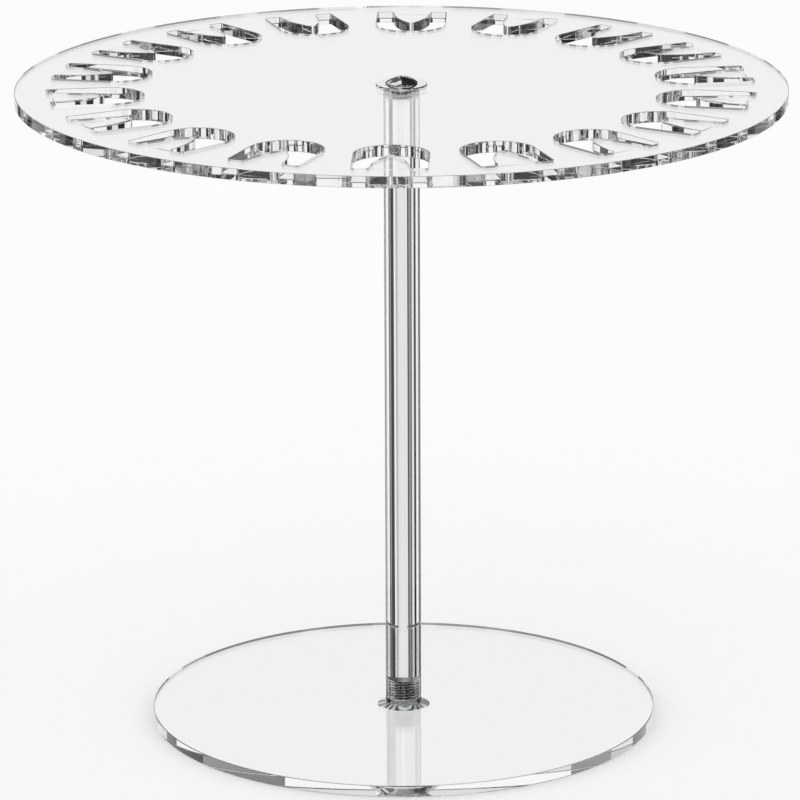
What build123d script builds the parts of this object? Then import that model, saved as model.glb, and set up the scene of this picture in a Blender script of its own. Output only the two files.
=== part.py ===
from build123d import *
import math
import os

# Clear acrylic sheet and rod
top_disc_diameter = 270.0
top_disc_thickness = 4.0
base_disc_diameter = 180.0
base_disc_thickness = 4.0
post_diameter = 12.7
post_length = 223.0

# Horseshoe slots round the top disc, with a tongue in each that points at the post
slot_count = 18
front_slot_angle = -91.9
slot_rim_margin = 11.6
slot_length = 33.2
slot_width = 25.4
tongue_width = 13.6
tongue_length = 19.9
tongue_tip_radius = 0.8
leg_corner_radius = 1.2

# Bush that the top disc turns on
bush_diameter = 11.0
bush_lift = 0.1
running_clearance = 0.05

# Dome-head screw and washer on top
top_thread_diameter = 8.0
top_screw_length = 8.0
dome_diameter = 11.2
dome_height = 2.6
dome_rim_height = 0.4
washer_diameter = 18.0
washer_thickness = 0.6
screw_hole_clearance = 0.2

# Countersunk screw under the base
base_thread_diameter = 8.0
base_screw_length = 12.0
base_head_diameter = 18.0
base_head_angle = 90.0
base_head_sink = 0.3
seat_clearance = 0.05

# Tapped holes in the ends of the post, with flat bottoms
thread_clearance = 0.05
hole_run_out = 0.3
screw_tip_chamfer = 0.6

# Cross recesses, measured from wing tip to wing tip
dome_recess_span = 5.6
dome_recess_wing = 1.1
dome_recess_depth = 1.4
dome_recess_turn = -16.0
base_recess_span = 7.4
base_recess_wing = 1.5
base_recess_depth = 2.6

# Length by which a cutting shape runs past the face it cuts
overrun = 1.0

# Heights of the faces where the pieces meet
post_foot = base_disc_thickness
post_top = post_foot + post_length
bush_top = post_top + top_disc_thickness + bush_lift
washer_top = bush_top + washer_thickness

ON_FOOT = (Align.CENTER, Align.CENTER, Align.MIN)


def cylinder(diameter, bottom, top):
    """A round bar on the stand's axis between two heights."""
    return Pos(0, 0, bottom) * Cylinder(diameter / 2, top - bottom, align=ON_FOOT)


def slot_outline():
    """One horseshoe slot along +X: its round end is towards the post, its legs towards the rim."""
    leg_end = top_disc_diameter / 2 - slot_rim_margin
    bend = leg_end - slot_length + slot_width / 2
    edge = slot_width / 2
    root = tongue_width / 2
    tip = (leg_end - tongue_length, 0)
    leg_radius = min(leg_corner_radius, (edge - root) / 3)
    with BuildSketch() as outline:
        with BuildLine():
            Polyline((leg_end, root), (leg_end, edge), (bend, edge))
            ThreePointArc((bend, edge), (bend - edge, 0), (bend, -edge))
            Polyline((bend, -edge), (leg_end, -edge), (leg_end, -root))
            TangentArc((leg_end, root), tip, tangent=(-1, 0))
            TangentArc((leg_end, -root), tip, tangent=(-1, 0))
        make_face()
        fillet(outline.vertices().sort_by_distance(tip)[0], tongue_tip_radius)
        fillet(outline.vertices().group_by(Axis.X)[-1], leg_radius)
    return outline.sketch


def top_disc():
    """Slotted disc that turns on the bush, lying on the post."""
    hole = bush_diameter + 2 * running_clearance
    slot = extrude(slot_outline(), top_disc_thickness + 2 * overrun)
    slot = Pos(0, 0, post_top - overrun) * slot
    step = 360 / slot_count
    disc = cylinder(top_disc_diameter, post_top, post_top + top_disc_thickness)
    disc -= cylinder(hole, post_top - overrun, post_top + top_disc_thickness + overrun)
    disc -= [Rot(0, 0, front_slot_angle + step * index) * slot for index in range(slot_count)]
    return disc


def countersink():
    """Room for the countersunk head and its shank, grown all round by the seat's clearance."""
    half_angle = math.radians(base_head_angle / 2)
    neck = base_thread_diameter + 2 * thread_clearance
    head = base_head_diameter + 2 * seat_clearance / math.cos(half_angle)
    mouth = head + 2 * (base_head_sink + overrun) * math.tan(half_angle)
    height = (mouth - neck) / 2 / math.tan(half_angle)
    cone = Pos(0, 0, -overrun) * Cone(mouth / 2, neck / 2, height, align=ON_FOOT)
    return cone + cylinder(neck, -overrun, base_head_sink + base_screw_length)


def base_disc():
    """Plain round foot with the screw's countersink cut from below."""
    return cylinder(base_disc_diameter, 0, base_disc_thickness) - countersink()


def post():
    """Solid rod with a tapped blind hole in each end."""
    top_hole_end = washer_top - top_screw_length - hole_run_out
    base_hole_end = base_head_sink + base_screw_length + hole_run_out
    top_bore = top_thread_diameter + 2 * thread_clearance
    base_bore = base_thread_diameter + 2 * thread_clearance
    rod = cylinder(post_diameter, post_foot, post_top)
    rod -= cylinder(top_bore, top_hole_end, post_top + overrun)
    rod -= cylinder(base_bore, post_foot - overrun, base_hole_end)
    return rod - countersink()


def cross_recess(span, wing, depth):
    """Two crossed wings, cut from a mouth at the origin up along +Z."""
    size = depth + overrun
    wings = Box(span, wing, size, align=ON_FOOT) + Box(wing, span, size, align=ON_FOOT)
    return Pos(0, 0, -overrun) * wings


def pivot_bush():
    """Sleeve between post and washer, a little taller than the disc that turns on it."""
    bore = top_thread_diameter + 2 * screw_hole_clearance
    sleeve = cylinder(bush_diameter, post_top, bush_top)
    return sleeve - cylinder(bore, post_top - overrun, bush_top + overrun)


def top_washer():
    """Wide flat washer on the bush."""
    bore = top_thread_diameter + 2 * screw_hole_clearance
    ring = cylinder(washer_diameter, bush_top, washer_top)
    return ring - cylinder(bore, bush_top - overrun, washer_top + overrun)


def top_screw():
    """Dome-head screw through washer and bush into the post."""
    rim = (dome_diameter / 2, washer_top + dome_rim_height)
    crown = (0, washer_top + dome_height)
    with BuildSketch(Plane.XZ) as half_dome:
        with BuildLine():
            Polyline(crown, (0, washer_top), (dome_diameter / 2, washer_top), rim)
            TangentArc(crown, rim, tangent=(1, 0))
        make_face()
    dome = revolve(half_dome.sketch, Axis.Z)
    shank = cylinder(top_thread_diameter, washer_top - top_screw_length, washer_top)
    shank = chamfer(shank.edges().group_by(Axis.Z)[0], screw_tip_chamfer)
    recess = cross_recess(dome_recess_span, dome_recess_wing, dome_recess_depth)
    recess = Pos(0, 0, washer_top + dome_height) * Rot(180, 0, dome_recess_turn) * recess
    return dome + shank - recess


def base_screw():
    """Countersunk screw through the base into the post, its head sunk a little into the underside."""
    narrowing = (base_head_diameter - base_thread_diameter) / 2
    height = narrowing / math.tan(math.radians(base_head_angle / 2))
    head = Cone(base_head_diameter / 2, base_thread_diameter / 2, height, align=ON_FOOT)
    shank = cylinder(base_thread_diameter, 0, base_screw_length)
    shank = chamfer(shank.edges().group_by(Axis.Z)[-1], screw_tip_chamfer)
    screw = head + shank - cross_recess(base_recess_span, base_recess_wing, base_recess_depth)
    return Pos(0, 0, base_head_sink) * screw


pieces = {
    "base_disc": base_disc(),
    "post": post(),
    "base_screw": base_screw(),
    "top_disc": top_disc(),
    "pivot_bush": pivot_bush(),
    "top_washer": top_washer(),
    "top_screw": top_screw(),
}

os.makedirs("parts", exist_ok=True)
for name, piece in pieces.items():
    export_step(piece, f"parts/{name}.step")
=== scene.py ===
import logging
import math
from collections.abc import Callable
from dataclasses import dataclass
from enum import Enum
from typing import ClassVar, Union

import bpy
import numpy as np
from mathutils import Matrix, Vector
from mathutils.geometry import delaunay_2d_cdt


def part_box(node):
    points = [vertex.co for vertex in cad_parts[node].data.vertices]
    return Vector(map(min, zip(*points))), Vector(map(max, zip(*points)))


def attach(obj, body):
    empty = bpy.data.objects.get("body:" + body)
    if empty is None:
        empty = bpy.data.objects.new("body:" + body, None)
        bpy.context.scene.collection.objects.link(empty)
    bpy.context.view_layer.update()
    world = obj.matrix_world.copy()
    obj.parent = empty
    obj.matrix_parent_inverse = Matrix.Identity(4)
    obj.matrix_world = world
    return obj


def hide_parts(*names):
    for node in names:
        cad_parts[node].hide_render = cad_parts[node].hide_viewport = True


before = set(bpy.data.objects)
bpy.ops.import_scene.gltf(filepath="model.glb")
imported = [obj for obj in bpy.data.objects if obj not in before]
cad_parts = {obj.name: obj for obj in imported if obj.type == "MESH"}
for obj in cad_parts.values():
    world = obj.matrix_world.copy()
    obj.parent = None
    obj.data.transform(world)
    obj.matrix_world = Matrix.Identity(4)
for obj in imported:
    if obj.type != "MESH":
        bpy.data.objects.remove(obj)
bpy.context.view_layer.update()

MM = 0.001
QUARTER = math.pi / 2
HALF_TURN = math.pi
FULL_TURN = 2 * math.pi
DEGREES_ROUND = 360.0
HAIR = 1e-9

LOG = logging.getLogger("stand")

Colour = tuple[float, float, float]
Plan = tuple[float, float]
Cards = tuple[tuple[float, float], ...]
Number = Union[float, "Field"]


class Body(Enum):
    """Bodies of the frame that pieces ride on."""

    STAND = "stand"
    CAROUSEL = "carousel"


class Slot(Enum):
    """Material slots of the record."""

    TOP_ACRYLIC = "top_acrylic"
    POST_ACRYLIC = "post_acrylic"
    BASE_ACRYLIC = "base_acrylic"
    SCREW_CHROME = "screw_chrome"
    WASHER_CHROME = "washer_chrome"
    BUSH_NYLON = "bush_nylon"


class Cut(Enum):
    """How a surface of the acrylic was made."""

    POLISHED = "polished"
    LASER = "laser"
    DRAWN = "drawn"
    DRILLED = "drilled"


class Brush(Enum):
    """How a chromed surface was worked before plating."""

    TURNED = "turned"
    STAMPED = "stamped"


def math_operator(operation: str, reflected: bool = False) -> Callable[["Field", Number], "Field"]:
    """Makes one of the operators that fields have.

    Args:
        operation: the Math node's operation.
        reflected: whether the field stands second.

    Returns:
        The operator's method.
    """

    def method(self: "Field", other: Number) -> "Field":
        """Draws the Math node for this field and another number."""
        pair = (other, self) if reflected else (self, other)
        node = self.sheet.add("ShaderNodeMath", {"operation": operation}, dict(enumerate(pair)))
        return self.sheet.field(node)

    return method


class Field:
    """A number that changes over a surface: one socket, with Python's operators on it."""

    def __init__(self, sheet: "NodeSheet", socket: bpy.types.NodeSocket) -> None:
        """Keeps the socket and the sheet that its sums are drawn on."""
        self.sheet = sheet
        self.socket = socket

    __add__ = math_operator("ADD")
    __radd__ = math_operator("ADD", reflected=True)
    __sub__ = math_operator("SUBTRACT")
    __rsub__ = math_operator("SUBTRACT", reflected=True)
    __mul__ = math_operator("MULTIPLY")
    __rmul__ = math_operator("MULTIPLY", reflected=True)
    __truediv__ = math_operator("DIVIDE")
    __rtruediv__ = math_operator("DIVIDE", reflected=True)
    __gt__ = math_operator("GREATER_THAN")
    __lt__ = math_operator("LESS_THAN")
    # The larger of two numbers
    __or__ = math_operator("MAXIMUM")
    __ror__ = math_operator("MAXIMUM", reflected=True)
    # The angle in radians to the right of straight ahead, from the part to the right and the part ahead
    azimuth = math_operator("ARCTAN2")


class NodeSheet:
    """The node tree of a finish or of the world, drawn node by node."""

    MIX_COLOURS = (0, 6, 7)
    MIX_COLOUR = 2

    def __init__(self, tree: bpy.types.NodeTree) -> None:
        """Takes a tree and empties it."""
        self.tree = tree
        tree.nodes.clear()

    def add(
        self,
        kind: str,
        settings: dict[str, object] | None = None,
        sockets: dict[int | str, object] | None = None,
    ) -> bpy.types.Node:
        """Adds one node.

        Args:
            kind: the node's type.
            settings: its properties, with a ramp's stops as (place, grey) pairs under "stops".
            sockets: values, fields or other nodes' sockets, by the input's name or index.

        Returns:
            The new node.
        """
        node = self.tree.nodes.new(kind)
        for key, value in (settings or {}).items():
            if key == "stops":
                self._set_stops(node.color_ramp, value)
            else:
                setattr(node, key, value)
        for key, value in (sockets or {}).items():
            source = value.socket if isinstance(value, Field) else value
            if isinstance(source, bpy.types.NodeSocket):
                self.tree.links.new(source, node.inputs[key])
            else:
                node.inputs[key].default_value = source
        return node

    @staticmethod
    def _set_stops(ramp: bpy.types.ColorRamp, stops: list[tuple[float, float]]) -> None:
        """Sets a ramp of flat greys.

        Args:
            ramp: the ramp.
            stops: pairs of a place from 0 to 1 and the grey that starts there.
        """
        ramp.interpolation = "CONSTANT"
        while len(ramp.elements) < len(stops):
            ramp.elements.new(1.0)
        while len(ramp.elements) > len(stops):
            ramp.elements.remove(ramp.elements[-1])
        for element, (place, grey) in zip(ramp.elements, stops):
            element.position = place
            element.color = (grey, grey, grey, 1.0)

    def field(self, node: bpy.types.Node, output: int | str = 0) -> Field:
        """A node's output as a number to reckon with."""
        return Field(self, node.outputs[output])

    def blend(self, share: Number, first: object, second: object) -> bpy.types.NodeSocket:
        """Mixes two colours.

        Args:
            share: how much of the second colour there is.
            first: a colour or a colour socket.
            second: a colour or a colour socket.

        Returns:
            The mixed colour's socket.
        """
        slots = dict(zip(self.MIX_COLOURS, (share, first, second)))
        node = self.add("ShaderNodeMix", {"data_type": "RGBA", "clamp_factor": True}, slots)
        return node.outputs[self.MIX_COLOUR]

    def place(self, stretch: tuple[float, float, float]) -> bpy.types.NodeSocket:
        """The piece's own coordinates, stretched along each axis.

        Args:
            stretch: factors along x, y and z, in marks per metre.

        Returns:
            The stretched place's socket.
        """
        own = self.add("ShaderNodeTexCoord")
        node = self.add(
            "ShaderNodeVectorMath", {"operation": "MULTIPLY"}, {0: own.outputs["Object"], 1: stretch}
        )
        return node.outputs[0]

    def noise(self, place: bpy.types.NodeSocket, detail: float, roughness: float = 0.5) -> Field:
        """Soft noise from 0 to 1, with one mark per unit of place and finer layers as told."""
        sockets = {"Vector": place, "Scale": 1.0, "Detail": detail, "Roughness": roughness}
        return self.field(self.add("ShaderNodeTexNoise", None, sockets), "Fac")

    def cloud(self, size: float, detail: float, roughness: float = 0.5) -> Field:
        """Soft noise with marks of one size all ways; its detail is as in noise."""
        return self.noise(self.place((1 / size,) * 3), detail, roughness)

    def surface(self, sockets: dict[str, object], relief: Field | None = None, height: float = 0.0) -> None:
        """Ends the sheet of a material.

        Args:
            sockets: values or links of the shader's sockets.
            relief: the surface's relief from 0 to 1, if it has any.
            height: what 1 stands for in the relief, in metres.
        """
        if relief is not None:
            bump = self.add("ShaderNodeBump", None, {"Strength": 1.0, "Distance": height, "Height": relief})
            sockets = {**sockets, "Normal": bump.outputs[0]}
        shader = self.add("ShaderNodeBsdfPrincipled", None, sockets)
        self.add("ShaderNodeOutputMaterial", None, {"Surface": shader.outputs[0]})


def opaque(colour: Colour) -> tuple[float, float, float, float]:
    """A colour with full cover, as colour sockets take it."""
    return (*colour, 1.0)


def emptied_material(name: str) -> tuple[bpy.types.Material, NodeSheet]:
    """Starts a material.

    Args:
        name: its name.

    Returns:
        The material and its empty node sheet.
    """
    material = bpy.data.materials.new(name)
    material.use_nodes = True
    return material, NodeSheet(material.node_tree)


@dataclass(frozen=True)
class ClearAcrylic:
    """Water-clear acrylic, with the marks that its making left on it."""

    name: str
    cut: Cut
    tint: Colour = (0.972, 0.978, 0.976)
    haze: Colour = (0.955, 0.965, 0.962)
    refraction: float = 1.49
    gloss_low: float = 0.006
    gloss_high: float = 0.014
    ripple_size: float = 22 * MM
    ripple_height: float = 0.002 * MM
    stria_size: float = 0.9 * MM
    stria_height: float = 0.012 * MM
    draw_size: float = 1.6 * MM
    draw_height: float = 0.0015 * MM
    draw_stretch: float = 200.0
    drill_size: float = 0.25 * MM
    drill_height: float = 0.01 * MM

    def _marks(self, sheet: NodeSheet) -> tuple[Field, float]:
        """Height of the marks left by the making.

        Args:
            sheet: the finish's node sheet.

        Returns:
            The height from 0 to 1, and what 1 stands for in metres.
        """
        if self.cut is Cut.LASER:
            across = 1 / self.stria_size
            return sheet.noise(sheet.place((across, across, 0.0)), 3.0, 0.55), self.stria_height
        if self.cut is Cut.DRAWN:
            across = 1 / self.draw_size
            place = sheet.place((across, across, across / self.draw_stretch))
            return sheet.noise(place, 1.0), self.draw_height
        if self.cut is Cut.DRILLED:
            return sheet.cloud(self.drill_size, 3.0), self.drill_height
        return sheet.cloud(self.ripple_size, 1.0), self.ripple_height

    def material(self) -> bpy.types.Material:
        """Makes the material.

        Returns:
            A clear material with faint haze, gloss and relief.
        """
        material, sheet = emptied_material(self.name)
        cloud = sheet.cloud(self.ripple_size, 2.0)
        sheet.surface(
            {
                "Base Color": sheet.blend(cloud, opaque(self.tint), opaque(self.haze)),
                "Roughness": self.gloss_low + cloud * (self.gloss_high - self.gloss_low),
                "IOR": self.refraction,
                "Transmission Weight": 1.0,
            },
            *self._marks(sheet),
        )
        return material


def polished_sheet(name: str) -> ClearAcrylic:
    """Cast sheet with faces as smooth as glass."""
    return ClearAcrylic(name, Cut.POLISHED, gloss_low=0.0, gloss_high=0.002)


@dataclass(frozen=True)
class Chrome:
    """Bright chrome plate over worked steel."""

    name: str
    brush: Brush
    bright: Colour = (0.86, 0.87, 0.88)
    # The colour that the clouds dull towards; in the thread steel, the near-black painted shade at the
    # thread's roots
    dull: Colour = (0.72, 0.73, 0.75)
    gloss_low: float = 0.03
    gloss_high: float = 0.11
    cloud_size: float = 2.5 * MM
    mark_size: float = 0.12 * MM
    mark_height: float = 0.0006 * MM
    grain_stretch: float = 12.0
    # Radii where the painted groove shade begins and where it is darkest; with crest not above root there
    # is none
    crest: float = 0.0
    root: float = 0.0

    def _from_axis(self, sheet: NodeSheet) -> tuple[Field, Field]:
        """Distance from the stand's axis, and height along it.

        Args:
            sheet: the finish's node sheet.

        Returns:
            Both, in metres.
        """
        own = sheet.add("ShaderNodeTexCoord")
        parts = sheet.add("ShaderNodeSeparateXYZ", None, {0: own.outputs["Object"]})
        flat = sheet.add("ShaderNodeCombineXYZ", None, {0: parts.outputs[0], 1: parts.outputs[1]})
        length = sheet.add("ShaderNodeVectorMath", {"operation": "LENGTH"}, {0: flat.outputs[0]})
        return sheet.field(length, "Value"), sheet.field(parts, 2)

    def _marks(self, sheet: NodeSheet) -> Field:
        """Height of the tool marks: rings round the axis, or the grain of a pressed sheet.

        Args:
            sheet: the finish's node sheet.

        Returns:
            The height from 0 to 1.
        """
        across = 1 / self.mark_size
        if self.brush is Brush.STAMPED:
            return sheet.noise(sheet.place((across, across / self.grain_stretch, across)), 2.0)
        radius, height = self._from_axis(sheet)
        spot = sheet.add("ShaderNodeCombineXYZ", None, {0: radius * across, 1: height * across})
        return sheet.noise(spot.outputs[0], 2.0)

    def material(self) -> bpy.types.Material:
        """Makes the material.

        Returns:
            A mirror-bright metal with faint clouds and tool marks.
        """
        material, sheet = emptied_material(self.name)
        cloud = dull_tone_and_groove_shade = sheet.cloud(self.cloud_size, 4.0, 0.6)
        # Painted shade: the colour goes from bright at the crest to dull at the root, darkening the
        # thread's grooves
        if self.crest > self.root:
            dull_tone_and_groove_shade = (self.crest - self._from_axis(sheet)[0]) / (self.crest - self.root)
        sheet.surface(
            {
                "Base Color": sheet.blend(dull_tone_and_groove_shade, opaque(self.bright), opaque(self.dull)),
                "Roughness": self.gloss_low + cloud * (self.gloss_high - self.gloss_low),
                "Metallic": 1.0,
            },
            self._marks(sheet),
            self.mark_height,
        )
        return material


@dataclass(frozen=True)
class NaturalNylon:
    """Uncoloured nylon that lets some light through."""

    name: str
    pale: Colour = (0.90, 0.89, 0.86)
    milky: Colour = (0.84, 0.83, 0.79)
    through: float = 0.55
    refraction: float = 1.53
    gloss_low: float = 0.28
    gloss_high: float = 0.42
    cloud_size: float = 1.5 * MM
    grain_size: float = 0.2 * MM
    grain_height: float = 0.004 * MM

    def material(self) -> bpy.types.Material:
        """Makes the material.

        Returns:
            A milky plastic with a fine moulded grain.
        """
        material, sheet = emptied_material(self.name)
        cloud = sheet.cloud(self.cloud_size, 3.0)
        sheet.surface(
            {
                "Base Color": sheet.blend(cloud, opaque(self.pale), opaque(self.milky)),
                "Roughness": self.gloss_low + cloud * (self.gloss_high - self.gloss_low),
                "IOR": self.refraction,
                "Transmission Weight": self.through,
            },
            sheet.cloud(self.grain_size, 1.0),
            self.grain_height,
        )
        return material


Finish = Union[ClearAcrylic, Chrome, NaturalNylon]


class Draft:
    """A closed mesh in the making: points, faces, a normal at each face's corner and a finish."""

    def __init__(self) -> None:
        """Starts with nothing."""
        self.points: list[np.ndarray] = []
        self.count = 0
        self.faces: list[list[int]] = []
        self.normals: list[np.ndarray] = []
        self.finishes: list[int] = []

    def ring(self, points: np.ndarray) -> np.ndarray:
        """Adds points.

        Args:
            points: one row of x, y and z for each point.

        Returns:
            The points' numbers.
        """
        first = self.count
        self.points.append(points)
        self.count += len(points)
        return np.arange(first, self.count)

    def face(self, corners: list[int], normals: np.ndarray, finish: int) -> None:
        """Adds one face.

        Args:
            corners: the numbers of its points, counter-clockwise from outside.
            normals: one row for each corner.
            finish: the number of its finish.
        """
        self.faces.append([int(corner) for corner in corners])
        self.normals.append(normals)
        self.finishes.append(finish)

    def band(
        self,
        low: np.ndarray,
        high: np.ndarray,
        low_normals: np.ndarray,
        high_normals: np.ndarray,
        finish: int,
    ) -> None:
        """Joins two closed rings with faces, or a ring with a single point on the axis.

        Args:
            low: numbers of the ring's points that come first, or of the one point.
            high: numbers of the ring's points that come next, or of the one point.
            low_normals: a normal for each place round the first ring.
            high_normals: a normal for each place round the second ring.
            finish: the number of the finish.
        """
        steps = max(len(low), len(high))
        for here in range(steps):
            there = (here + 1) % steps
            corners = []
            normals = []
            for ring, rows, step in (
                (low, low_normals, here),
                (low, low_normals, there),
                (high, high_normals, there),
                (high, high_normals, here),
            ):
                corner = ring[step % len(ring)]
                if corner not in corners:
                    corners.append(corner)
                    normals.append(rows[step])
            self.face(corners, np.array(normals), finish)

    def to_object(self, name: str, finishes: list[Finish], own_normals: bool = True) -> bpy.types.Object:
        """Makes the Blender object.

        Args:
            name: the piece's name.
            finishes: its finishes, in the order of their numbers.
            own_normals: whether the corners keep the normals that they were given.

        Returns:
            The object, in the scene.
        """
        mesh = bpy.data.meshes.new(name)
        mesh.from_pydata(np.concatenate(self.points).tolist(), [], self.faces)
        mesh.polygons.foreach_set("material_index", self.finishes)
        mesh.polygons.foreach_set("use_smooth", [True] * len(self.faces))
        for finish in finishes:
            mesh.materials.append(finish.material())
        if own_normals:
            mesh.normals_split_custom_set(np.concatenate(self.normals).tolist())
        mesh.update()
        made = bpy.data.objects.new(name, mesh)
        bpy.context.scene.collection.objects.link(made)
        return made


@dataclass(frozen=True)
class Thread:
    """A screw thread, cut into a turned surface."""

    pitch: float
    depth: float
    run_in: float
    run_out: float
    rows_per_turn: int = 12

    def radii(self, first: float, last: float, heights: np.ndarray, angles: np.ndarray) -> np.ndarray:
        """Radii of the threaded surface.

        Args:
            first: radius at the first row; the smaller of the two ends is a tip at 45 degrees.
            last: radius at the last row.
            heights: heights of the rows, in order.
            angles: angles round the axis.

        Returns:
            One row for each height and one column for each angle.
        """
        from_start = np.abs(heights - heights[0])[:, None]
        from_end = np.abs(heights - heights[-1])[:, None]
        grown = np.ones_like(from_start)
        if self.run_in > 0:
            grown = grown * np.clip(from_start / self.run_in, 0, 1)
        if self.run_out > 0:
            grown = grown * np.clip(from_end / self.run_out, 0, 1)
        phase = (heights[:, None] / self.pitch - angles[None, :] / FULL_TURN) % 1.0
        groove = 1 - np.abs(2 * phase - 1)
        cut = max(first, last) - self.depth * grown * groove
        return np.minimum(cut, np.minimum(first + from_start, last + from_end))


@dataclass(frozen=True)
class Corner:
    """A corner of a turned profile, and how the profile goes on from it."""

    radius: float
    height: float
    rounding: float = 0.0
    thread: Thread | None = None
    crown_centre: float | None = None
    finish: int = 0

    def at(self) -> np.ndarray:
        """The corner's place in the profile's plane."""
        return np.array((self.radius, self.height))


@dataclass(frozen=True)
class Lathe:
    """Turns a profile about the stand's axis. The profile keeps the solid on its left."""

    segments: int = 128
    rounding_steps: int = 4
    crown_steps: int = 18

    @staticmethod
    def _outward(direction: np.ndarray) -> np.ndarray:
        """The normal on the right of a direction."""
        return np.array((direction[1], -direction[0]))

    def _rounded(self, before: np.ndarray, corner: Corner, after: np.ndarray) -> list[np.ndarray]:
        """Points and normals of a rounded corner.

        Args:
            before: unit direction of the profile before the corner.
            corner: the corner.
            after: unit direction of the profile after the corner.

        Returns:
            Rows of radius, height and the normal's two parts.
        """
        turn = math.atan2(before[0] * after[1] - before[1] * after[0], float(before @ after))
        side = 1.0 if turn > 0 else -1.0
        trim = corner.rounding * math.tan(abs(turn) / 2)
        first = self._outward(before)
        centre = corner.at() - before * trim - first * corner.rounding * side
        start = math.atan2(first[1], first[0])
        rows = []
        for step in range(self.rounding_steps + 1):
            angle = start + turn * step / self.rounding_steps
            normal = np.array((math.cos(angle), math.sin(angle)))
            rows.append(np.concatenate((centre + normal * corner.rounding * side, normal)))
        return rows

    def _crowned(self, start: Corner, end: Corner) -> list[np.ndarray]:
        """Points and normals of an arc about a centre on the axis.

        Args:
            start: the corner where the arc starts, with the height of its centre.
            end: the corner where it ends.

        Returns:
            Rows of radius, height and the normal's two parts.
        """
        centre = np.array((0.0, start.crown_centre))
        reach = np.linalg.norm(start.at() - centre)
        first = math.atan2(*(start.at() - centre)[::-1])
        last = math.atan2(*(end.at() - centre)[::-1])
        rows = []
        for step in range(self.crown_steps + 1):
            angle = first + (last - first) * step / self.crown_steps
            normal = np.array((math.cos(angle), math.sin(angle)))
            place = centre + normal * reach
            radius = max(place[0], 0.0) if step < self.crown_steps else end.radius
            rows.append(np.array((radius, place[1], *normal)))
        return rows

    def _threaded(self, start: Corner, end: Corner, angles: np.ndarray) -> tuple[np.ndarray, np.ndarray]:
        """Points and normals of a threaded stretch.

        Args:
            start: the corner where the thread starts.
            end: the corner where it ends.
            angles: angles round the axis.

        Returns:
            Points and normals, each by row, angle and axis.
        """
        thread = start.thread
        length = abs(end.height - start.height)
        count = math.ceil(length / thread.pitch * thread.rows_per_turn)
        heights = np.linspace(start.height, end.height, count + 1)
        radii = thread.radii(start.radius, end.radius, heights, angles)
        slope = np.gradient(radii, heights, axis=0)
        turned = (np.roll(radii, -1, axis=1) - np.roll(radii, 1, axis=1)) / (2 * (angles[1] - angles[0]))
        lean = turned / radii
        side = 1.0 if end.height > start.height else -1.0
        cosine, sine = np.cos(angles)[None, :], np.sin(angles)[None, :]
        tall = np.repeat(heights[:, None], len(angles), axis=1)
        points = np.stack((radii * cosine, radii * sine, tall), axis=2)
        normals = np.stack((cosine + lean * sine, sine - lean * cosine, -slope), axis=2) * side
        return points, normals / np.linalg.norm(normals, axis=2, keepdims=True)

    def _turned(self, rows: list[np.ndarray], angles: np.ndarray) -> tuple[np.ndarray, np.ndarray]:
        """Points and normals of a plain stretch.

        Args:
            rows: rows of radius, height and the normal's two parts.
            angles: angles round the axis.

        Returns:
            Points and normals, each by row, angle and axis.
        """
        table = np.array(rows)
        cosine, sine = np.cos(angles)[None, :], np.sin(angles)[None, :]
        ones = np.ones((1, len(angles)))
        points = [table[:, :1] * cosine, table[:, :1] * sine, table[:, 1:2] * ones]
        normals = [table[:, 2:3] * cosine, table[:, 2:3] * sine, table[:, 3:4] * ones]
        return np.stack(points, axis=2), np.stack(normals, axis=2)

    def _stretches(
        self, corners: list[Corner], closed: bool, angles: np.ndarray
    ) -> list[tuple[np.ndarray, np.ndarray, int]]:
        """Splits a profile into stretches with smooth normals.

        Args:
            corners: the profile's corners.
            closed: whether the last corner joins the first.
            angles: angles round the axis.

        Returns:
            Points, normals and the finish's number of each stretch.
        """
        count = len(corners)
        ways = []
        for number in range(count if closed else count - 1):
            step = corners[(number + 1) % count].at() - corners[number].at()
            ways.append(step / np.linalg.norm(step))
        stretches = []
        rounded: dict[int, list[np.ndarray]] = {}
        for number, corner in enumerate(corners):
            inner = closed or 0 < number < count - 1
            if inner and corner.rounding > 0:
                rounded[number] = self._rounded(ways[number - 1], corner, ways[number])
        for number, way in enumerate(ways):
            start = corners[number]
            following = (number + 1) % count
            if number in rounded:
                stretches.append((*self._turned(rounded[number], angles), start.finish))
            if start.thread:
                stretches.append((*self._threaded(start, corners[following], angles), start.finish))
                continue
            if start.crown_centre is not None:
                crown = self._crowned(start, corners[following])
                stretches.append((*self._turned(crown, angles), start.finish))
                continue
            normal = self._outward(way)
            first = rounded[number][-1][:2] if number in rounded else start.at()
            last = rounded[following][0][:2] if following in rounded else corners[following].at()
            rows = [np.concatenate((first, normal)), np.concatenate((last, normal))]
            stretches.append((*self._turned(rows, angles), start.finish))
        return stretches

    def turn(self, corners: list[Corner], closed: bool) -> Draft:
        """Turns the profile.

        Args:
            corners: the profile's corners, with the solid on its left.
            closed: whether the last corner joins the first; if not, both are on the axis.

        Returns:
            The closed mesh.
        """
        angles = np.linspace(0, FULL_TURN, self.segments, endpoint=False)
        draft = Draft()
        stretches = self._stretches(corners, closed, angles)
        first = last = None
        for order, (points, normals, finish) in enumerate(stretches):
            for row in range(len(points) - 1):
                if last is None:
                    first = last = self._level(draft, points[row])
                at_end = closed and order == len(stretches) - 1 and row == len(points) - 2
                following = first if at_end else self._level(draft, points[row + 1])
                draft.band(last, following, normals[row], normals[row + 1], finish)
                last = following
        return draft

    @staticmethod
    def _level(draft: Draft, points: np.ndarray) -> np.ndarray:
        """Adds one level of points, as a single point where it lies on the axis."""
        on_axis = np.abs(points[:, :2]).max() < HAIR
        return draft.ring(points[:1] if on_axis else points)


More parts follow.
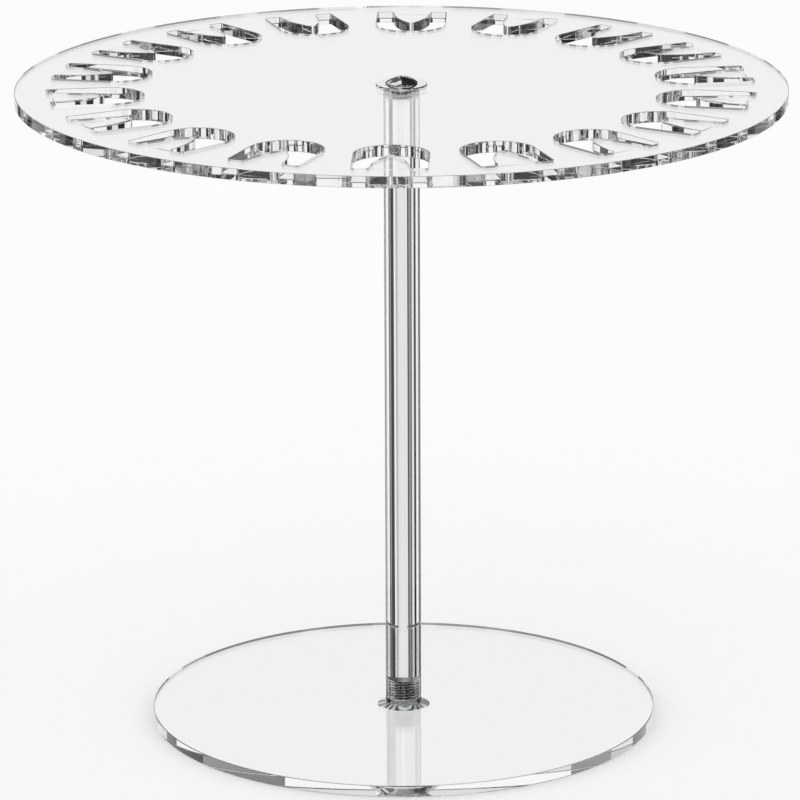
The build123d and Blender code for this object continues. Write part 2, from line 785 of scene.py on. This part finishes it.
class Outline:
    """A closed line in a plate's plan, made of arcs, with the solid on its left."""

    def __init__(self) -> None:
        """Starts with no arcs."""
        self.points: list[Plan] = []
        self.normals: list[Plan] = []

    def arc(self, centre: Plan, radius: float, start: float, end: float, steps: int) -> None:
        """Goes along an arc; a straight run joins it to the arc before.

        Args:
            centre: the arc's centre.
            radius: its radius.
            start: the angle where it starts.
            end: the angle where it ends, below start for an arc that runs clockwise.
            steps: number of pieces that it is drawn in.
        """
        side = 1.0 if end > start else -1.0
        for angle in np.linspace(start, end, steps + 1):
            way = (math.cos(angle), math.sin(angle))
            self.points.append((centre[0] + radius * way[0], centre[1] + radius * way[1]))
            self.normals.append((side * way[0], side * way[1]))

    def circle(self, radius: float, steps: int, hole: bool) -> "Outline":
        """Goes once round the axis.

        Args:
            radius: the circle's radius.
            steps: number of pieces that it is drawn in.
            hole: whether the solid is outside it.

        Returns:
            This outline.
        """
        self.arc((0.0, 0.0), radius, 0.0, -FULL_TURN if hole else FULL_TURN, steps)
        self.points.pop()
        self.normals.pop()
        return self

    def turned(self, angle: float) -> "Outline":
        """A copy, turned about the axis."""
        cosine, sine = math.cos(angle), math.sin(angle)
        copy = Outline()
        copy.points = [(u * cosine - v * sine, u * sine + v * cosine) for u, v in self.points]
        copy.normals = [(u * cosine - v * sine, u * sine + v * cosine) for u, v in self.normals]
        return copy


@dataclass(frozen=True)
class CrossRecess:
    """A cross recess for a driver, narrowing towards its bottom."""

    span: float
    wing: float
    depth: float
    bottom_span_share: float = 0.42
    bottom_wing_share: float = 0.62
    overrun: float = 0.5 * MM

    def _level(self, draft: Draft, down: float) -> np.ndarray:
        """One level of the cutting shape.

        Args:
            draft: the cutting shape's mesh.
            down: how far below the mouth the level lies.

        Returns:
            The numbers of its twelve points.
        """
        share = down / self.depth
        reach = self.span / 2 * (1 + (self.bottom_span_share - 1) * share)
        half = self.wing / 2 * (1 + (self.bottom_wing_share - 1) * share)
        arm = [(reach, -half), (reach, half), (half, half)]
        rows = []
        for quarter in range(4):
            cosine, sine = math.cos(quarter * QUARTER), math.sin(quarter * QUARTER)
            rows += [(x * cosine - y * sine, x * sine + y * cosine, -down) for x, y in arm]
        return draft.ring(np.array(rows))

    def cut(self, piece: bpy.types.Object, place: Matrix) -> None:
        """Cuts the recess into a piece.

        Args:
            piece: the piece.
            place: where the middle of the mouth lies, with its z axis pointing out.
        """
        draft = Draft()
        bottom = self._level(draft, self.depth)
        top = self._level(draft, -self.overrun)
        plain = np.zeros((len(top), 3))
        draft.face(list(bottom[::-1]), plain, 0)
        draft.band(bottom, top, plain, plain, 0)
        draft.face(list(top), plain, 0)
        cutter = draft.to_object("recess_cutter", [], own_normals=False)
        cutter.data.transform(place)
        modifier = piece.modifiers.new("recess", "BOOLEAN")
        modifier.operation = "DIFFERENCE"
        modifier.solver = "EXACT"
        modifier.object = cutter
        bpy.context.view_layer.update()
        graph = bpy.context.evaluated_depsgraph_get()
        cut_mesh = bpy.data.meshes.new_from_object(piece.evaluated_get(graph))
        piece.modifiers.clear()
        piece.data = cut_mesh
        bpy.data.objects.remove(cutter)


@dataclass
class Piece:
    """One piece of the stand, dressed in place of its node in the frame."""

    node: str
    body: Body
    slot: Slot
    name: str

    def low(self) -> float:
        """Height of the node's lowest point."""
        return round(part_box(self.node)[0].z, 6)

    def high(self) -> float:
        """Height of the node's highest point."""
        return round(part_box(self.node)[1].z, 6)

    def outer_radius(self) -> float:
        """Largest distance of the node from the stand's axis, along x."""
        return round(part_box(self.node)[1].x, 6)

    def make(self) -> bpy.types.Object:
        """Makes the piece's mesh with its finishes; each piece has its own."""
        raise NotImplementedError

    def build(self) -> bpy.types.Object:
        """Makes the piece and puts it in the frame.

        Returns:
            The piece.
        """
        made = self.make()
        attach(made, self.body.value)
        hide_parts(self.node)
        LOG.info("%s stands for %s, rides %s", made.name, self.node, self.body.value)
        return made


@dataclass
class TopDisc(Piece):
    """Slotted disc that turns on the bush."""

    INSIDE_WITH_HOLES: ClassVar[int] = 2

    node: str = "top_disc"
    body: Body = Body.CAROUSEL
    slot: Slot = Slot.TOP_ACRYLIC
    name: str = "slotted_top_disc"
    hole_radius: float = 5.55 * MM
    edge_rounding: float = 0.18 * MM
    rounding_steps: int = 3
    slot_count: int = 18
    front_slot_angle: float = math.radians(-91.9)
    rim_margin: float = 11.6 * MM
    slot_length: float = 33.2 * MM
    slot_width: float = 25.4 * MM
    tongue_width: float = 13.6 * MM
    tongue_length: float = 19.9 * MM
    tip_radius: float = 0.8 * MM
    corner_radius: float = 1.2 * MM
    rim_steps: int = 720
    hole_steps: int = 96
    bend_steps: int = 44
    tongue_steps: int = 22
    corner_steps: int = 6
    tip_steps: int = 10

    def slot_outline(self) -> Outline:
        """One horseshoe slot along +X, with a pointed tongue in it.

        Returns:
            Its outline.
        """
        end = self.outer_radius() - self.rim_margin
        edge = self.slot_width / 2
        root = self.tongue_width / 2
        bend = end - self.slot_length + edge
        corner = self.corner_radius
        side_radius = (self.tongue_length**2 + root**2) / (2 * root)
        side_drop = side_radius - root
        tip_back = math.sqrt((side_radius - self.tip_radius) ** 2 - side_drop**2)
        tip = end - tip_back
        meet = math.atan2(side_drop, -tip_back)
        foot = math.sqrt((side_radius + corner) ** 2 - corner**2) - side_drop
        foot_turn = math.atan2(foot + side_drop, corner)
        outline = Outline()
        outline.arc((bend, 0.0), edge, 3 * QUARTER, QUARTER, self.bend_steps)
        outline.arc((end - corner, edge - corner), corner, QUARTER, 0.0, self.corner_steps)
        outline.arc((end - corner, foot), corner, 0.0, -foot_turn, self.corner_steps)
        outline.arc((end, -side_drop), side_radius, HALF_TURN - foot_turn, meet, self.tongue_steps)
        outline.arc((tip, 0.0), self.tip_radius, meet, FULL_TURN - meet, self.tip_steps)
        back, foot_end = FULL_TURN - meet, HALF_TURN + foot_turn
        outline.arc((end, side_drop), side_radius, back, foot_end, self.tongue_steps)
        outline.arc((end - corner, -foot), corner, foot_turn, 0.0, self.corner_steps)
        outline.arc((end - corner, corner - edge), corner, 0.0, -QUARTER, self.corner_steps)
        return outline

    def outlines(self) -> list[Outline]:
        """The disc's rim, its middle hole and all its slots."""
        slot = self.slot_outline()
        step = FULL_TURN / self.slot_count
        rim = Outline().circle(self.outer_radius(), self.rim_steps, hole=False)
        hole = Outline().circle(self.hole_radius, self.hole_steps, hole=True)
        slots = [slot.turned(self.front_slot_angle + step * index) for index in range(self.slot_count)]
        return [rim, hole, *slots]

    def _wall(self, draft: Draft, outline: Outline) -> tuple[np.ndarray, np.ndarray]:
        """Raises the wall on one outline, with rounded edges.

        Args:
            draft: the disc's mesh.
            outline: the outline.

        Returns:
            The numbers of the wall's lowest and highest points, where the faces start.
        """
        points = np.array(outline.points)
        sideways = np.array(outline.normals)
        rounding = self.edge_rounding
        turns = [QUARTER * step / self.rounding_steps for step in range(self.rounding_steps + 1)]
        levels = [(-turn, self.low() + rounding) for turn in reversed(turns)]
        levels += [(turn, self.high() - rounding) for turn in turns]
        rings = []
        normals = []
        for turn, height in levels:
            plan = points - sideways * rounding * (1 - math.cos(turn))
            tall = np.full((len(points), 1), height + rounding * math.sin(turn))
            rings.append(draft.ring(np.hstack((plan, tall))))
            upward = np.full((len(points), 1), math.sin(turn))
            normals.append(np.hstack((sideways * math.cos(turn), upward)))
        for level in range(len(rings) - 1):
            draft.band(rings[level], rings[level + 1], normals[level], normals[level + 1], 1)
        return rings[0], rings[-1]

    def _faces(self, draft: Draft, loops: list[np.ndarray], upward: bool) -> None:
        """Closes the disc's top or underside.

        Args:
            draft: the disc's mesh.
            loops: the numbers of the points along each outline.
            upward: whether this is the top.
        """
        numbers = np.concatenate(loops)
        places = np.concatenate(draft.points)[numbers]
        starts = np.cumsum([0] + [len(loop) for loop in loops])
        rounds = [list(range(starts[order], starts[order + 1])) for order in range(len(loops))]
        corners = [Vector(place[:2]) for place in places]
        made = delaunay_2d_cdt(corners, [], rounds, self.INSIDE_WITH_HOLES, HAIR)
        _, _, faces, sources, _, _ = made
        normal = np.array(((0.0, 0.0, 1.0 if upward else -1.0),) * 3)
        for face in faces:
            ids = [numbers[sources[corner][0]] for corner in face]
            draft.face(ids if upward else ids[::-1], normal, 0)

    def make(self) -> bpy.types.Object:
        """Makes the disc: polished faces, laser-cut walls."""
        draft = Draft()
        walls = [self._wall(draft, outline) for outline in self.outlines()]
        self._faces(draft, [low for low, _ in walls], upward=False)
        self._faces(draft, [high for _, high in walls], upward=True)
        edge = ClearAcrylic("laser_cut_edge", Cut.LASER)
        return draft.to_object(self.name, [polished_sheet("top_sheet"), edge])


@dataclass(frozen=True)
class Fastening:
    """Sizes that the screws share with the holes they go into."""

    air: float = 0.03 * MM
    thread_clearance: float = 0.05 * MM
    hole_run_out: float = 0.3 * MM
    top_radius: float = 4.0 * MM
    top_length: float = 8.0 * MM
    top_thread: Thread = Thread(1.0 * MM, 0.6 * MM, 0.0, 0.8 * MM)
    base_radius: float = 4.0 * MM
    base_length: float = 12.0 * MM
    base_thread: Thread = Thread(1.0 * MM, 0.6 * MM, 0.8 * MM, 0.0)
    tip_chamfer: float = 0.6 * MM
    head_radius: float = 9.0 * MM
    head_sink: float = 0.3 * MM
    seat_clearance: float = 0.05 * MM

    def countersink_radius(self, height: float) -> float:
        """Radius of the 90 degree countersink at a height above the underside."""
        return self.head_radius + self.seat_clearance * math.sqrt(2) + self.head_sink - height


FASTENING = Fastening()
# Steel for the threads. Its near-black dull colour is painted shade, darkest at the thread's roots.
THREAD_STEEL_WITH_GROOVE_SHADE = Chrome(
    "thread_steel_groove_shade",
    Brush.TURNED,
    (0.95, 0.93, 0.92),
    (0.02, 0.02, 0.02),
    gloss_low=0.08,
    gloss_high=0.2,
    crest=FASTENING.base_radius,
    root=3.55 * MM,
)


@dataclass
class BoredPiece(Piece):
    """A round piece with a hole through its middle."""

    lathe: Lathe

    def turn(self, bores: tuple[float, float], hole: float, low_rim: float, high_rim: float) -> Draft:
        """Turns the piece.

        Args:
            bores: the hole's radius at the bottom and at the top.
            hole: rounding of the hole's edges.
            low_rim: rounding of the rim's lower edge.
            high_rim: rounding of the rim's upper edge.

        Returns:
            The closed mesh.
        """
        low, high, rim = self.low(), self.high(), self.outer_radius()
        corners = [
            Corner(bores[0], low, hole),
            Corner(rim, low, low_rim),
            Corner(rim, high, high_rim),
            Corner(bores[1], high, hole),
        ]
        return self.lathe.turn(corners, closed=True)


@dataclass
class BaseDisc(BoredPiece):
    """Round foot with a polished edge."""

    node: str = "base_disc"
    body: Body = Body.STAND
    slot: Slot = Slot.BASE_ACRYLIC
    name: str = "round_base_disc"
    edge_rounding: float = 0.25 * MM
    hole_rounding: float = 0.1 * MM
    lathe: Lathe = Lathe(segments=720)

    def make(self) -> bpy.types.Object:
        """Makes the disc with its countersunk hole."""
        bores = (FASTENING.countersink_radius(self.low()), FASTENING.countersink_radius(self.high()))
        draft = self.turn(bores, self.hole_rounding, self.edge_rounding, self.edge_rounding)
        return draft.to_object(self.name, [polished_sheet("base_sheet")])


@dataclass
class Post(Piece):
    """Clear rod, drilled and tapped at both ends."""

    node: str = "post"
    body: Body = Body.STAND
    slot: Slot = Slot.POST_ACRYLIC
    name: str = "clear_post"
    edge_rounding: float = 0.15 * MM
    tap_depth: float = 0.16 * MM
    tap_run_in: float = 0.5 * MM
    tap_run_out: float = 0.5 * MM
    lathe: Lathe = Lathe(segments=192)

    def make(self) -> bpy.types.Object:
        """Makes the rod; thin air parts its ends from the discs."""
        fit = FASTENING
        foot = self.low() + fit.air
        top = self.high() - fit.air
        base_hole = fit.base_radius + fit.thread_clearance
        base_depth = fit.head_sink + fit.base_length + fit.hole_run_out
        neck = fit.countersink_radius(0.0) - base_hole
        top_hole = fit.top_radius + fit.thread_clearance
        screw_tip = TopScrew().seat() - fit.top_length
        top_depth = screw_tip - fit.hole_run_out
        base_tap = Thread(fit.base_thread.pitch, self.tap_depth, self.tap_run_out, self.tap_run_in)
        top_tap = Thread(fit.top_thread.pitch, self.tap_depth, self.tap_run_in, self.tap_run_out)
        corners = [
            Corner(0.0, base_depth, finish=1),
            Corner(base_hole, base_depth, 0.0, base_tap),
            Corner(base_hole, neck),
            Corner(fit.countersink_radius(foot), foot),
            Corner(self.outer_radius(), foot, self.edge_rounding),
            Corner(self.outer_radius(), top, self.edge_rounding),
            Corner(top_hole, top, 0.0, top_tap),
            Corner(top_hole, top_depth, finish=1),
            Corner(0.0, top_depth),
        ]
        draft = self.lathe.turn(corners, closed=False)
        side = ClearAcrylic("drawn_rod", Cut.DRAWN)
        hole_end = ClearAcrylic("drilled_hole_end", Cut.DRILLED, gloss_low=0.3, gloss_high=0.5)
        return draft.to_object(self.name, [side, hole_end])


@dataclass
class Screw(Piece):
    """A chromed screw with a steel thread and a cross recess."""

    recess: CrossRecess
    lathe: Lathe
    crease: float = math.radians(32.0)

    def turn(self, corners: list[Corner], plating: str, mouth: Matrix) -> bpy.types.Object:
        """Turns the screw and cuts its recess.

        Args:
            corners: its profile.
            plating: the name of its head's finish.
            mouth: where the middle of the recess's mouth lies, with its z axis pointing out.

        Returns:
            The screw.
        """
        draft = self.lathe.turn(corners, closed=False)
        made = draft.to_object(self.name, [Chrome(plating, Brush.TURNED), THREAD_STEEL_WITH_GROOVE_SHADE], own_normals=False)
        self.recess.cut(made, mouth)
        made.data.set_sharp_from_angle(angle=self.crease)
        return made


@dataclass
class TopScrew(Screw):
    """Dome-head screw with a cross recess."""

    node: str = "top_screw"
    body: Body = Body.STAND
    slot: Slot = Slot.SCREW_CHROME
    name: str = "dome_head_screw"
    dome_radius: float = 5.6 * MM
    dome_height: float = 2.6 * MM
    dome_rim: float = 0.4 * MM
    rim_rounding: float = 0.12 * MM
    recess: CrossRecess = CrossRecess(5.6 * MM, 1.1 * MM, 1.4 * MM)
    recess_turn: float = math.radians(-16.0)
    lathe: Lathe = Lathe(segments=96, crown_steps=24)

    def seat(self) -> float:
        """Height of the washer's top, where the head sits."""
        return round(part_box("top_washer")[1].z, 6)

    def make(self) -> bpy.types.Object:
        """Makes the screw and cuts its recess."""
        fit = FASTENING
        seat = self.seat()
        tip = seat - fit.top_length
        rise = self.dome_height - self.dome_rim
        reach = (rise**2 + self.dome_radius**2) / (2 * rise)
        crown = seat + self.dome_height
        corners = [
            Corner(0.0, tip),
            Corner(fit.top_radius - fit.tip_chamfer, tip, thread=fit.top_thread, finish=1),
            Corner(fit.top_radius, seat),
            Corner(self.dome_radius, seat, self.rim_rounding),
            Corner(self.dome_radius, seat + self.dome_rim, 0.0, None, crown - reach),
            Corner(0.0, crown),
        ]
        mouth = Matrix.Translation((0.0, 0.0, crown)) @ Matrix.Rotation(self.recess_turn, 4, "Z")
        return self.turn(corners, "screw_plating", mouth)


@dataclass
class TopWasher(BoredPiece):
    """Wide washer under the dome head, with the rolled edge of a pressed sheet."""

    node: str = "top_washer"
    body: Body = Body.STAND
    slot: Slot = Slot.WASHER_CHROME
    name: str = "wide_washer"
    bore_radius: float = 4.2 * MM
    rolled_edge: float = 0.25 * MM
    sheared_edge: float = 0.08 * MM
    lathe: Lathe = Lathe(segments=160)

    def make(self) -> bpy.types.Object:
        """Makes the washer."""
        bores = (self.bore_radius, self.bore_radius)
        draft = self.turn(bores, self.sheared_edge, self.sheared_edge, self.rolled_edge)
        return draft.to_object(self.name, [Chrome("washer_plating", Brush.STAMPED)])


@dataclass
class BaseScrew(Screw):
    """Countersunk screw through the base into the post."""

    node: str = "base_screw"
    body: Body = Body.STAND
    slot: Slot = Slot.SCREW_CHROME
    name: str = "countersunk_screw"
    recess: CrossRecess = CrossRecess(7.4 * MM, 1.5 * MM, 2.6 * MM)
    rim_rounding: float = 0.15 * MM
    lathe: Lathe = Lathe(segments=144)

    def make(self) -> bpy.types.Object:
        """Makes the screw and cuts its recess from below."""
        fit = FASTENING
        head = self.low()
        tip = head + fit.base_length
        neck = head + fit.head_radius - fit.base_radius
        corners = [
            Corner(0.0, head),
            Corner(fit.head_radius, head, self.rim_rounding),
            Corner(fit.base_radius, neck, thread=fit.base_thread, finish=1),
            Corner(fit.base_radius - fit.tip_chamfer, tip),
            Corner(0.0, tip),
        ]
        mouth = Matrix.Translation((0.0, 0.0, head)) @ Matrix.Rotation(HALF_TURN, 4, "X")
        return self.turn(corners, "base_screw_plating", mouth)


@dataclass
class PivotBush(BoredPiece):
    """Sleeve that the top disc turns on."""

    node: str = "pivot_bush"
    body: Body = Body.STAND
    slot: Slot = Slot.BUSH_NYLON
    name: str = "turning_bush"
    bore_radius: float = 4.2 * MM
    edge_rounding: float = 0.15 * MM
    lathe: Lathe = Lathe(segments=96)

    def make(self) -> bpy.types.Object:
        """Makes the sleeve."""
        bores = (self.bore_radius, self.bore_radius)
        draft = self.turn(bores, self.edge_rounding, self.edge_rounding, self.edge_rounding)
        return draft.to_object(self.name, [NaturalNylon("bush_nylon_finish")])


@dataclass(frozen=True)
class Ring:
    """Upright cards side by side, once round the stand, above an elevation in degrees.

    Each card is the azimuth in degrees where it starts, and its grey. The azimuth is 0 straight behind
    the stand and 180 on the camera's side.
    """

    bottom: float
    cards: Cards

    def colour(self, sheet: NodeSheet, turn: Field) -> bpy.types.NodeSocket:
        """Draws the cards' greys, by the azimuth from 0 to 1 once round."""
        stops = [(start / DEGREES_ROUND + 0.5, grey) for start, grey in self.cards]
        return sheet.add("ShaderNodeValToRGB", {"stops": stops}, {0: turn}).outputs[0]


# Cards that give the rod its bands
ROD_CARDS: Cards = (
    (-83, 0.05), (-53, 1.00), (-38, 0.02), (-30.5, 0.85), (-23.5, 0.08), (-20, 0.30), (-15, 0.06),
    (-11.5, 0.80), (9, 0.55), (15, 1.00), (19, 0.06), (29.5, 0.28), (32.5, 0.04), (37, 1.00),
    (53, 0.35), (72, 0.10),
)


@dataclass(frozen=True)
class LightTent:
    """White tent with tiers of upright cards, which give the clear edges their dark lines."""

    fill: float = 0.98
    white: float = 0.985
    backdrop: float = 0.89
    none_yet: float = 0.5
    mirror_passes: float = 2.0
    one_sheet: float = 2.5
    ground: Ring = Ring(-90.00, ((-180, 0.90),))
    edge_low: Ring = Ring(
        -38.00,
        (
            (-180, 0.75), (-73, 0.06), (-58.5, 0.80), (-46, 0.22), (-32, 0.97), (19.6, 0.20),
            (42, 1.00), (55.5, 0.03), (64, 0.75), (78, 0.45), (172, 0.75),
        ),
    )
    rim_low: Ring = Ring(-19.15, ((-180, 0.80), (-172, 0.15), *ROD_CARDS, (172, 0.80)))
    foot_low: Ring = Ring(
        -17.90,
        (
            (-180, 0.80), (-172, 0.15), (-160, 0.85), (-146, 0.12), (-132, 0.85), (-118, 0.10),
            (-104, 0.85), *ROD_CARDS, (82, 0.85), (98, 0.10), (114, 0.85), (130, 0.10), (146, 0.85),
            (160, 0.12), (172, 0.80),
        ),
    )
    disc_low: Ring = Ring(
        -13.70,
        (
            (-180, 0.80), (-168, 0.02), (-150, 0.60), (-128, 0.02), (-104, 0.80), (-84, 0.02),
            (-62, 1.00), (-38, 0.02), (-30, 0.75), (-24.5, 0.02), (-20.5, 0.95), (-8, 0.87), (8, 0.95),
            (20.5, 0.03), (33, 1.00), (52, 0.20), (66, 0.01), (84, 0.80), (98, 0.01), (122, 0.70),
            (134, 0.05), (154, 1.00), (168, 0.03), (173, 0.80),
        ),
    )
    horizon: Ring = Ring(-10.00, ((-180, 0.80), (-95, 0.04), (95, 0.80)))
    rise: Ring = Ring(
        -1.00,
        (
            (-180, 0.80), (-95, 0.04), (-66, 0.75), (-42, 0.04), (-14, 0.90), (-1, 0.04), (95, 0.80),
        ),
    )
    disc_high: Ring = Ring(
        10.00,
        (
            (-180, 0.90), (-165, 0.30), (-142, 0.70), (-128, 0.04), (-12, 0.95), (12, 0.03),
            (130, 0.70), (142, 0.15), (165, 0.90),
        ),
    )
    foot_high: Ring = Ring(
        13.70,
        (
            (-180, 0.90), (-165, 0.30), (-142, 0.70), (-128, 0.06), (-12, 0.95), (12, 0.05),
            (130, 0.70), (142, 0.15), (165, 0.90),
        ),
    )
    edge_high: Ring = Ring(
        19.15,
        (
            (-180, 0.75), (-73, 0.06), (-58.5, 0.55), (-46, 0.26), (-32, 0.74), (-4, 0.95), (4, 0.74),
            (19.6, 0.26), (42, 0.02), (64, 0.75), (78, 0.45), (172, 0.75),
        ),
    )
    sky: Ring = Ring(21.00, ((-180, 0.02), (-62, 0.70), (-28, 0.12), (0, 0.02)))
    roof: Ring = Ring(38.00, ((-180, 0.02), (-95, 0.95), (-50, 0.12), (0, 0.02)))
    zenith: Ring = Ring(65.00, ((-180, 0.04), (-95, 0.95), (0, 0.03)))

    def _tent(self, sheet: NodeSheet, way: bpy.types.NodeSocket) -> bpy.types.NodeSocket:
        """Draws the tiers, each above the one before.

        Args:
            sheet: the world's node sheet.
            way: the direction that is looked in.

        Returns:
            The socket with the tent's greys.
        """
        parts = sheet.add("ShaderNodeSeparateXYZ", None, {0: way})
        height = sheet.field(parts, 2)
        turn = sheet.field(parts, 0).azimuth(sheet.field(parts, 1)) / FULL_TURN + 0.5
        tent = self.ground.colour(sheet, turn)
        lower = (self.edge_low, self.rim_low, self.foot_low, self.disc_low, self.horizon, self.rise)
        upper = (self.disc_high, self.foot_high, self.edge_high, self.sky, self.roof, self.zenith)
        for ring in (*lower, *upper):
            edge = math.sin(math.radians(ring.bottom))
            tent = sheet.blend(height > edge, tent, ring.colour(sheet, turn))
        return tent

    def build(self) -> bpy.types.World:
        """Makes the world.

        Returns:
            The world: plain white to the camera, an even fill to dull surfaces, the plain backdrop
            through or off one smooth sheet, and the cards to all other clear surfaces and metal.
        """
        world = bpy.data.worlds.new("light_tent")
        world.use_nodes = True
        sheet = NodeSheet(world.node_tree)
        way = sheet.add("ShaderNodeTexCoord")
        tent = self._tent(sheet, way.outputs["Generated"])
        path = sheet.add("ShaderNodeLightPath")
        clear = sheet.field(path, "Is Glossy Ray") | sheet.field(path, "Is Transmission Ray")
        clear = clear * (sheet.field(path, "Diffuse Depth") < self.none_yet)
        mirrors = sheet.field(path, "Glossy Depth") * self.mirror_passes
        passes = sheet.field(path, "Transmission Depth") + mirrors
        straight = sheet.field(path, "Is Singular Ray") * (passes < self.one_sheet)
        tent = sheet.blend(straight, tent, opaque((self.backdrop,) * 3))
        seen = sheet.blend(clear, opaque((self.fill,) * 3), tent)
        seen = sheet.blend(sheet.field(path, "Is Camera Ray"), seen, opaque((self.white,) * 3))
        light = sheet.add("ShaderNodeBackground", None, {"Color": seen, "Strength": 1.0})
        sheet.add("ShaderNodeOutputWorld", None, {"Surface": light.outputs[0]})
        bpy.context.scene.world = world
        return world


@dataclass(frozen=True)
class PaleFloor:
    """Matt white floor."""

    half_width: float = 12.0
    below: float = 0.2 * MM
    bright: Colour = (0.985, 0.985, 0.985)
    shade: Colour = (0.975, 0.975, 0.975)
    cloud_size: float = 0.25
    roughness: float = 0.9

    def material(self) -> bpy.types.Material:
        """Makes the floor's material."""
        material, sheet = emptied_material("pale_floor")
        cloud = sheet.cloud(self.cloud_size, 2.0)
        sheet.surface(
            {
                "Base Color": sheet.blend(cloud, opaque(self.bright), opaque(self.shade)),
                "Roughness": self.roughness,
                "Specular IOR Level": 0.0,
            }
        )
        return material

    def build(self) -> bpy.types.Object:
        """Lays the floor, which clear pieces and chrome see through to the tent.

        Returns:
            The floor.
        """
        reach = self.half_width
        mesh = bpy.data.meshes.new("floor")
        corners = [(-reach, -reach, 0.0), (reach, -reach, 0.0), (reach, reach, 0.0), (-reach, reach, 0.0)]
        mesh.from_pydata(corners, [], [(0, 1, 2, 3)])
        mesh.materials.append(self.material())
        floor = bpy.data.objects.new("floor", mesh)
        floor.location.z = -self.below
        floor.visible_glossy = False
        floor.visible_transmission = False
        bpy.context.scene.collection.objects.link(floor)
        return floor


@dataclass(frozen=True)
class Softbox:
    """Large square lamp overhead."""

    size: float = 1.4
    power: float = 1.4
    place: tuple[float, float, float] = (-0.2, -1.0, 2.0)
    aim: tuple[float, float, float] = (0.0, 0.0, 0.1)

    def build(self) -> bpy.types.Object:
        """Hangs the lamp.

        Returns:
            The lamp.
        """
        lamp = bpy.data.lights.new("softbox", "AREA")
        lamp.shape = "SQUARE"
        lamp.size = self.size
        lamp.energy = self.power
        hung = bpy.data.objects.new("softbox", lamp)
        hung.location = self.place
        way = Vector(self.aim) - Vector(self.place)
        hung.rotation_euler = way.to_track_quat("-Z", "Y").to_euler()
        bpy.context.scene.collection.objects.link(hung)
        return hung


@dataclass(frozen=True)
class Viewpoint:
    """The photograph's camera, in front of the stand and a little above it."""

    place: tuple[float, float, float] = (0.0, -1.8727, 0.6526)
    tilt: float = math.radians(74.03)
    roll: float = math.radians(-0.2)
    lens: float = 247.0
    shift: float = -0.00325

    def build(self) -> bpy.types.Object:
        """Sets up the camera.

        Returns:
            The camera.
        """
        data = bpy.data.cameras.new("viewpoint")
        data.lens = self.lens
        data.shift_x = self.shift
        camera = bpy.data.objects.new("viewpoint", data)
        turn = Matrix.Rotation(self.tilt, 4, "X") @ Matrix.Rotation(self.roll, 4, "Z")
        camera.matrix_world = Matrix.Translation(self.place) @ turn
        bpy.context.scene.collection.objects.link(camera)
        bpy.context.scene.camera = camera
        return camera


@dataclass(frozen=True)
class LightPaths:
    """How often light may turn inside the clear pieces."""

    bounces: int = 48

    def apply(self) -> None:
        """Sets the scene's limits and its plain view."""
        cycles = bpy.context.scene.cycles
        cycles.max_bounces = self.bounces
        cycles.glossy_bounces = self.bounces
        cycles.transmission_bounces = self.bounces
        bpy.context.scene.view_settings.view_transform = "Standard"


def main() -> None:
    """Builds the studio and every piece of the stand."""
    logging.basicConfig(level=logging.INFO, format="%(name)s: %(message)s")
    LightPaths().apply()
    Viewpoint().build()
    LightTent().build()
    PaleFloor().build()
    Softbox().build()
    pieces = (BaseDisc(), BaseScrew(), Post(), PivotBush(), TopDisc(), TopWasher(), TopScrew())
    for piece in pieces:
        made = piece.build()
        LOG.info("%s has %d faces", made.name, len(made.data.polygons))


if __name__ == "__main__":
    main()
